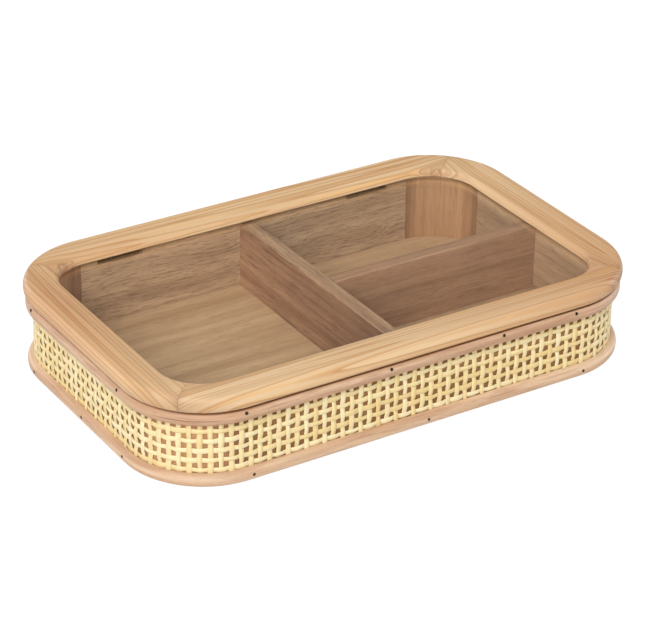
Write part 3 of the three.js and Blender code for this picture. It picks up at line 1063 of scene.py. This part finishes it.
# Cane webbing
def cane_strip(name, low, high, along, steps):
    """A straight strip of split cane, its outer edges rounded off, stepped along its length."""
    strip = block(name, low, high)

    def lengthwise(first, second):
        return abs(first[along] - second[along]) > TOUCH

    def outer_edge(first, second):
        return lengthwise(first, second) and first.y < 0

    ease_edges(strip, outer_edge, CANE_EDGE_ROUND, 1)
    open_mesh(strip)
    pick_edges(strip, lengthwise)
    bpy.ops.mesh.subdivide(number_cuts=steps - 1)
    close_mesh()
    return strip


def crossing_lift(share):
    """How far a strand stands out: the lift over one crossing, as far back under the next, flat at both."""
    wave = math.cos(math.pi * share)
    return CANE_LIFT * wave * (1.5 - 0.5 * wave * wave)


def weave_level(strip, pitch, sign):
    """Over and under the uprights, which stand half a pitch from the strip's ends."""
    for vertex in strip.data.vertices:
        vertex.co.y -= sign * crossing_lift(vertex.co.x / pitch - 0.5)


def weave_upright(strip, sign):
    """Over and under the level strands, then back behind the trims at both ends."""
    row_pitch = (row_levels[-1] - row_levels[0]) / (len(row_levels) - 1)
    for vertex in strip.data.vertices:
        row = (vertex.co.z - row_levels[0]) / row_pitch
        inside = min(max(row, 0), len(row_levels) - 1)
        beyond = min(abs(row - inside), 1)
        end_sign = sign * math.cos(math.pi * round(inside))
        lift = sign * crossing_lift(inside)
        if beyond > 0:
            lift = crossing_lift(beyond) if end_sign > 0 else -CANE_LIFT
        vertex.co.y -= lift


def open_ends(strand):
    """Takes the end faces off a stretch of strand, so that it runs on into the next."""
    open_mesh(strand)
    pick_faces(strand, lambda middle, normal: abs(normal.x) > CANE_END_FACING)
    bpy.ops.mesh.delete(type="FACE")
    close_mesh()


def cane_webbing():
    """Open square webbing: two uprights with their stretch of each level strand, repeated round the box."""
    pitch = WHOLE_RUN / CANE_UPRIGHTS
    half_width = CANE_WIDTH / 2
    half_thickness = CANE_THICKNESS / 2
    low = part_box("bottom_trim")[1].z - CANE_TUCK
    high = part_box("top_trim")[0].z + CANE_TUCK
    strips = []
    upright_steps = CANE_STEPS_PER_CROSSING * (len(row_levels) + 1)
    for place, sign in ((0.5, 1), (1.5, -1)):
        middle = place * pitch
        upright = cane_strip("upright", (middle - half_width, -half_thickness, low),
                             (middle + half_width, half_thickness, high), 2, upright_steps)
        weave_upright(upright, sign)
        lay_grain(upright, "z")
        strips.append(upright)
    for row, level in enumerate(row_levels):
        strand = cane_strip("strand", (0, -half_thickness, level - half_width),
                            (2 * pitch, half_thickness, level + half_width), 0, 2 * CANE_STEPS_PER_CROSSING)
        weave_level(strand, pitch, -1 if row % 2 == 0 else 1)
        open_ends(strand)
        lay_grain(strand, "x")
        strips.append(strand)
    webbing = join("cane_webbing", strips)
    repeat = webbing.modifiers.new("repeat", "ARRAY")
    repeat.count = CANE_UPRIGHTS // 2
    repeat.use_relative_offset = False
    repeat.use_constant_offset = True
    repeat.constant_offset_displace = (2 * pitch, 0, 0)
    repeat.use_merge_vertices = True
    repeat.merge_threshold = TOUCH
    bpy.ops.object.modifier_apply(modifier=repeat.name)
    spread_cane_grain(webbing)
    loosen_weave(webbing)
    wrap_round_box(webbing)
    face_outwards(webbing)
    smooth(webbing, SMOOTH_CURVE)
    return webbing


def loosen_weave(webbing):
    """Lets the strands wander a little, as hand-woven ones do."""
    for vertex in webbing.data.vertices:
        run, _, height = vertex.co
        vertex.co.x += CANE_WANDER * math.sin(run * UPRIGHT_WAVES[0] + height * UPRIGHT_WAVES[1])
        vertex.co.z += CANE_WANDER * math.sin(run * LEVEL_WAVES[0] + height * LEVEL_WAVES[1])


def spread_cane_grain(webbing):
    """Moves the grain on from one repeat to the next, so that no two strands are alike."""
    for vertex, place in zip(webbing.data.vertices, webbing.data.attributes["grain"].data):
        upright = abs(place.vector.x - vertex.co.z) < TOUCH
        if upright:
            place.vector = (vertex.co.z, vertex.co.x, vertex.co.y)
        else:
            place.vector = (vertex.co.x, vertex.co.z, vertex.co.y)


# Brads through the trims: their places along each side, in millimetres from its middle
TOP_BRADS = {
    "front": (-104.3, -19.4, 50.3, 96.9),
    "left": (-42.6, 53.4),
    "right": (-46, 38),
    "back": (-112, -40, 6, 48, 108),
}
BOTTOM_BRADS = {
    "front": (-100.3, 4.5, 103.7),
    "left": (-46.9, -2, 52.4),
    "right": (-58, 10),
    "back": (-104, -30, 8, 70),
}
SIDE_RUNS = {"front": front_run, "left": left_run, "right": right_run, "back": back_run}


def brads(name, level, places):
    """Small domed steel heads, driven in along a trim."""
    face = web_reach - trim_outer - BRAD_PROUD
    head = cylinder("brad", BRAD_SIDES, BRAD_RADIUS, BRAD_HEIGHT, (0, face + BRAD_HEIGHT / 2, level),
                    turn=(math.pi / 2, 0, 0))

    def outer_rim(first, second):
        return max(first.y, second.y) < face + TOUCH

    ease_edges(head, outer_rim, BRAD_DOME)
    runs = [SIDE_RUNS[side](place * MM) for side in places for place in places[side]]
    heads = [copied(head, Matrix.Translation((run, 0, 0))) for run in runs]
    bpy.data.objects.remove(head)
    row = join(name, heads)
    wrap_round_box(row)
    smooth(row, SMOOTH_CURVE)
    return row


# Hinges
def barrel(name, first, last, axis_y, axis_z, radius):
    """A length of hinge barrel along X with its ends eased."""
    piece = cylinder(name, BARREL_SIDES, radius, last - first, ((first + last) / 2, axis_y, axis_z),
                     turn=(0, math.pi / 2, 0))

    def end_rim(first_end, second_end):
        return abs(first_end.x - second_end.x) < TOUCH

    ease_edges(piece, end_rim, KNUCKLE_ARRIS)
    return piece


def slotted_screw(x, y, z, facing):
    """A flat-headed screw sunk in a leaf, facing up (1) or down (-1), with the slot across its head."""
    top = z + facing * SCREW_PROUD
    head = cylinder("screw", SCREW_SIDES, SCREW_RADIUS, SCREW_HEIGHT, (x, y, top - facing * SCREW_HEIGHT / 2))

    def face_rim(first, second):
        return abs(first.z - top) < TOUCH and abs(second.z - top) < TOUCH

    ease_edges(head, face_rim, SCREW_PROUD / 2)
    slot_low, slot_high = sorted((z, z + 2 * facing * SCREW_PROUD))
    half_slot = SCREW_SLOT / 2
    cut_out(head, block("slot", (x - 2 * SCREW_RADIUS, y - half_slot, slot_low),
                        (x + 2 * SCREW_RADIUS, y + half_slot, slot_high)))
    return head


def hinge_leaf(side, part):
    """A leaf with its two screws and its knuckles: the box's are the outer two, the lid's the middle one."""
    on_lid = part == "lid_leaf"
    low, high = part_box(f"hinge_{side}_{part}")
    span_low, span_high = hinge_span(side)
    start, end = span_low.x, span_high.x
    radius = (span_high.z - span_low.z) / 2
    axis_y = high.y - radius
    axis_z = (span_low.z + span_high.z) / 2
    knuckle = (end - start - 2 * HINGE_CLEARANCE) / 3
    outer = ((start, start + knuckle), (end - knuckle, end))
    middle = ((start + knuckle + HINGE_CLEARANCE, end - knuckle - HINGE_CLEARANCE),)
    own, others = (middle, outer) if on_lid else (outer, middle)
    plate_low = axis_z + radius - LEAF_THICKNESS if on_lid else axis_z - radius
    plate = block("plate", (start, low.y, plate_low), (end, axis_y, plate_low + LEAF_THICKNESS))
    for first, last in others:
        room_low = (first - HINGE_CLEARANCE, axis_y - radius - HINGE_CLEARANCE, axis_z - 2 * radius)
        room_high = (last + HINGE_CLEARANCE, axis_y + radius, axis_z + 2 * radius)
        cut_out(plate, block("room", room_low, room_high))
    ease_edges(plate, lambda first, second: True, LEAF_ARRIS, 1)
    parts = [plate]
    parts += [barrel("knuckle", first, last, axis_y, axis_z, radius) for first, last in own]
    screw_y = (low.y + axis_y - radius) / 2
    screw_z = plate_low if on_lid else plate_low + LEAF_THICKNESS
    for shift in (-SCREW_SPACING / 2, SCREW_SPACING / 2):
        parts.append(slotted_screw((start + end) / 2 + shift, screw_y, screw_z, -1 if on_lid else 1))
    leaf = join(f"{side}_hinge_{part}", parts)
    smooth(leaf)
    return leaf


def hinge_pin(side):
    """The pin through the knuckles, with its ends just showing."""
    low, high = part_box(f"hinge_{side}_pin")
    radius = (high.z - low.z) / 2
    pin = barrel(f"{side}_hinge_rod", low.x, high.x, (low.y + high.y) / 2, (low.z + high.z) / 2, radius)
    smooth(pin)
    return pin


# Make the finishes
pine = lid_pine()
# The walls' outer faces carry painted shade behind the webbing
back_wood = bare_board("back_board", paint(196, 163, 128), paint(164, 131, 99), WALL_DASH,
                       band=8, swirl=4.0, dashing=0.6, outside=BEHIND_CANE_SHADE)
wall_wood = bare_board("wall_board", paint(193, 159, 124), paint(161, 127, 96), WALL_DASH,
                       band=8, swirl=4.0, dashing=0.35, outside=BEHIND_CANE_SHADE)
# Painted light on the cross divider's top, and its faces darker towards the front
cross_wood = bare_board("cross_board_wood", paint(189, 147, 111), paint(158, 115, 83), paint(100, 66, 46),
                        band=5, swirl=1.2, dashing=0.62,
                        top=(0.98, 1.1, 1.18, 1), heart=(0.52, 0.46, 0.44, 1))
# Painted light on the short divider's top
short_wood = bare_board("short_board_wood", paint(166, 126, 94), paint(144, 106, 77), paint(105, 71, 49),
                        band=6, swirl=2.0, dashing=0.4, top=(1.12, 1.18, 1.24, 1))
# Painted light on the blocks' outer faces, behind the webbing
block_wood = bare_board("corner_block_wood", paint(185, 142, 101), paint(168, 125, 87), paint(124, 85, 57),
                        band=5, swirl=0.6, dashing=0.3,
                        outside=(1.22, 1.18, 1.14, 1), ends=(0.68, 0.62, 0.6, 1))
base_wood = bare_board("floor_board", paint(200, 167, 128), paint(172, 138, 101), paint(132, 98, 70),
                       band=9, swirl=2.0, dashing=0.35)
# The top trim's tones are darker and browner than the bottom's: painted shade under the lid's overhang
top_rattan = trim_rattan("top_trim_rattan", paint(195, 151, 118), paint(208, 168, 134),
                         paint(221, 186, 154), blotched=0.5)
bottom_rattan = trim_rattan("bottom_trim_rattan", paint(204, 164, 131), paint(217, 181, 147),
                            paint(229, 198, 166), blotched=0.3)
cane = split_cane()
brass = dark_metal("aged_brass", paint(120, 96, 58), paint(74, 58, 38), roughness=0.45)
steel = dark_metal("dark_steel", paint(58, 46, 40), paint(88, 74, 64), roughness=0.5)
glass = clear_glass()

# Where each piece is cut from the timber: a place in its grain, and for the rails a tilt in degrees
RAIL_GRAIN = {
    "back": ((0.31, 0.052, 0.021), 28),
    "left": ((0.77, 0.148, 0.013), -35),
    "front": ((1.23, 0.149, 0.025), -40),
    "right": ((2.71, 0.114, 0.041), 32),
}
BASE_GRAIN = (0.4, 0.2, 0.1)
WALL_GRAIN, WALL_GRAIN_STEP = (0, 0, 0.05), (0.53, 0.17, 0)
BLOCK_GRAIN, BLOCK_GRAIN_STEP = (0, 0, 0.02), (0.29, 0.11, 0)
CROSS_GRAIN = (2.1, 0.3, 0.4)
SHORT_GRAIN = (2.9, 0.6, 0.2)
TOP_TRIM_GRAIN = 0.0
BOTTOM_TRIM_GRAIN = 1.3

# Make the lid
for side, (_, _, along) in SIDES.items():
    rail = lid_rail(side)
    lay_grain(rail, along, *RAIL_GRAIN[side])
    mark(rail, "lip", on_lip)
    # A rail's surface cuts across the fibres round the corners
    axis = GRAIN_ORDER[along][0]
    mark(rail, "end_grain", lambda vertex: abs(vertex.normal[axis]))
    finished(rail, "lid", pine, "lid_wood", f"lid_rail_{side}")
pane = rounded_panel("glass_pane", "glass_panel", GLASS_ARRIS)
finished(pane, "lid", glass, "glass", "glass_panel")

# Make the tray
base = rounded_panel("base_board", "base_panel", BOARD_ARRIS)
lay_grain(base, "x", BASE_GRAIN)
finished(base, "tray", base_wood, "base_wood", "base_panel")
for place, (side, (_, _, along)) in enumerate(SIDES.items()):
    wall = wall_board(side)
    if side == "back":
        cut_notches(wall, flat=False)
    smooth(wall)
    lay_grain(wall, along, moved_on(WALL_GRAIN, WALL_GRAIN_STEP, place))
    mark(wall, "outside", on_outside)
    finished(wall, "tray", back_wood if side == "back" else wall_wood, "tray_wood", f"wall_{side}")
for place, corner in enumerate(CORNERS):
    quarter = corner_block(corner)
    lay_grain(quarter, "z", moved_on(BLOCK_GRAIN, BLOCK_GRAIN_STEP, place))
    mark(quarter, "outside", on_outside)
    # Painted shade at both ends of each block, beside the wall boards
    mark(quarter, "ends", block_end_shade_share)
    finished(quarter, "tray", block_wood, "block_wood", f"corner_block_{corner}")
for name, along, wood, start in (("cross", "y", cross_wood, CROSS_GRAIN),
                                 ("short", "x", short_wood, SHORT_GRAIN)):
    divider = divider_board(f"{name}_board", f"{name}_divider", along)
    lay_grain(divider, along, start)
    finished(divider, "tray", wood, "tray_wood", f"{name}_divider")

# Make the trims, of which only the top one has painted shadow along its top edge, the webbing and the brads
for node, rattan, start, shade_rise in (("top_trim", top_rattan, TOP_TRIM_GRAIN, 0),
                                        ("bottom_trim", bottom_rattan, BOTTOM_TRIM_GRAIN, GAP_SHADE_DEPTH)):
    strip = trim_strip(f"{node}_strip", node)
    if node == "top_trim":
        cut_notches(strip, flat=True)
    lay_grain(strip, "x", (start, 0, -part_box(node)[1].z - shade_rise))
    wrap_round_box(strip)
    smooth(strip)
    finished(strip, "tray", rattan, "rattan", node)
finished(cane_webbing(), "tray", cane, "cane", "cane_uprights", *row_nodes)
for node, drop, places in (("top_trim", TOP_BRAD_DROP, TOP_BRADS),
                           ("bottom_trim", BOTTOM_BRAD_DROP, BOTTOM_BRADS)):
    row = brads(f"{node}_brads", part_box(node)[1].z - drop, places)
    row.data.materials.append(steel)
    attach(row, "tray")

# Make the hinges
for side in HINGE_SIDES:
    for part, body in (("box_leaf", "tray"), ("lid_leaf", "lid")):
        finished(hinge_leaf(side, part), body, brass, "hinge_brass", f"hinge_{side}_{part}")
    finished(hinge_pin(side), "tray", brass, "hinge_brass", f"hinge_{side}_pin")

# Stage: a white floor that keeps the shadow, a low white backdrop, a dim room and soft lamps
FLOOR_SIZE = 12
BACKDROP_HEIGHT = 1.1
ROOM_LIGHT = 0.12
STAGE_WHITE = paint(235, 235, 235)
STAGE_SEEN = paint(124, 124, 124)
STAGE_GLOW = 0.9


def stage_white():
    """White that the camera, metal and glass see as the photo's background, darker only in the shadow."""
    finish = Finish("stage_white")
    light = finish.tree.nodes.new("ShaderNodeLightPath")
    seen = finish.maths("MAXIMUM", light.outputs["Is Camera Ray"], light.outputs["Is Glossy Ray"])
    seen = finish.maths("MAXIMUM", seen, light.outputs["Is Transmission Ray"])
    finish.set(Base_Color=finish.mix(seen, STAGE_WHITE, STAGE_SEEN), Roughness=0.9, Specular_IOR_Level=0.0,
               Emission_Color=(1, 1, 1, 1), Emission_Strength=finish.maths("MULTIPLY", seen, STAGE_GLOW))
    return finish.material


def dim_room():
    """A dim room above the backdrop, which leaves the pane clear."""
    world = bpy.data.worlds.new("dim_room")
    world.use_nodes = True
    world.node_tree.nodes["Background"].inputs["Color"].default_value = (1, 1, 1, 1)
    world.node_tree.nodes["Background"].inputs["Strength"].default_value = ROOM_LIGHT
    return world


def soft_lamp(name, place, aim, size, power):
    """A round area lamp, turned towards its aim."""
    put_down()
    bpy.ops.object.light_add(type="AREA", location=place)
    lamp = bpy.context.object
    lamp.name = name
    lamp.data.shape = "DISK"
    lamp.data.size = size
    lamp.data.energy = power
    lamp.rotation_mode = "QUATERNION"
    lamp.rotation_quaternion = (Vector(aim) - Vector(place)).to_track_quat("-Z", "Y")


white = stage_white()
put_down()
bpy.ops.mesh.primitive_plane_add(size=FLOOR_SIZE, location=(0, 0, 0))
floor = named("floor")
floor.data.materials.append(white)
put_down()
bpy.ops.mesh.primitive_cylinder_add(vertices=BACKDROP_SIDES, radius=FLOOR_SIZE / 2, depth=BACKDROP_HEIGHT,
                                    end_fill_type="NOTHING", location=(0, 0, BACKDROP_HEIGHT / 2))
backdrop = named("backdrop")
backdrop.data.materials.append(white)
bpy.context.scene.world = dim_room()
soft_lamp("ceiling_lamp", place=(0, 0.1, 1.6), aim=(0, 0.1, 0), size=3.0, power=11)
soft_lamp("corner_lamp", place=(-1.88, -1.88, 2.13), aim=(0, 0, 0), size=2.0, power=99)
soft_lamp("right_lamp", place=(3.0, -0.4, 0.6), aim=(0, 0, 0.03), size=1.1, power=28)
soft_lamp("back_lamp", place=(-0.9, 3.0, 0.6), aim=(0, 0, 0.03), size=1.1, power=28)

# Camera, fitted to the photo's outlines
CAMERA_PLACE = Vector((-0.669954, -1.064420, 0.706455))
CAMERA_AIM = Vector((0.46658554, 0.74275932, -0.48021508))
CAMERA_ROLL = math.radians(0.737)
CAMERA_LENS = 147.97
CAMERA_SENSOR = 36

put_down()
bpy.ops.object.camera_add(location=CAMERA_PLACE)
camera = bpy.context.object
camera.data.lens = CAMERA_LENS
camera.data.sensor_width = CAMERA_SENSOR
camera.rotation_mode = "QUATERNION"
camera.rotation_quaternion = CAMERA_AIM.to_track_quat("-Z", "Y")
camera.rotation_quaternion.rotate(Matrix.Rotation(-CAMERA_ROLL, 3, CAMERA_AIM))
bpy.context.scene.camera = camera
bpy.context.scene.view_settings.view_transform = "Standard"

bpy.context.view_layer.update()
